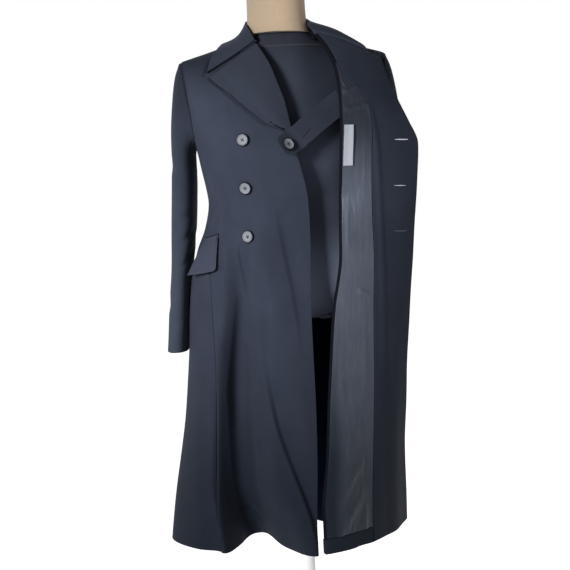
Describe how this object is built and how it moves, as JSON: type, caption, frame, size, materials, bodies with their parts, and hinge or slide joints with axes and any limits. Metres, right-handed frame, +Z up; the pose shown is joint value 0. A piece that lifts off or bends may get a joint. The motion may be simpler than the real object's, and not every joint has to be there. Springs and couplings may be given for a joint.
{
  "type": "double-breasted coat on a limbless dress form",
  "caption": "Long flared wool coat, one front worn and the other turned back to its lining, with notched lapel, hip flaps and inner tab, on a dress form with a round base.",
  "frame": {"origin": "On the floor under the middle of the stand's round base.", "axes": "+Z up, -Y out of the coat's front, -X the wearer's right side."},
  "size_m": [0.5502, 0.38, 1.452],
  "materials": {
    "wool": "matte",
    "lining": "satin",
    "label": "satin",
    "button": "gloss",
    "jersey": "matte",
    "linen": "matte",
    "cap_wood": "satin",
    "stand_paint": "satin"
  },
  "bodies": {
    "root": {"front_right": "wool", "side_right": "wool", "back_right": "wool", "back_left": "wool", "side_left": "wool", "front_left": "wool", "facing_left": "wool", "hem_left": "wool", "collar_stand": "wool", "collar_fall": "wool", "lapel_right": "wool", "sleeve_right_top": "wool", "sleeve_right_under": "wool", "sleeve_left_top": "wool", "sleeve_left_under": "wool", "pocket_flap_right": "wool", "pocket_flap_left": "wool", "tab_strap": "wool", "lining_left": "lining", "label_care": "label", "form_torso": "jersey", "form_neck": "linen", "form_neck_cap": "cap_wood", "stand_pole": "stand_paint", "stand_base": "stand_paint", "button_right_1": "button", "button_right_2": "button", "button_right_3": "button", "button_tab": "button"}
  },
  "joints": []
}
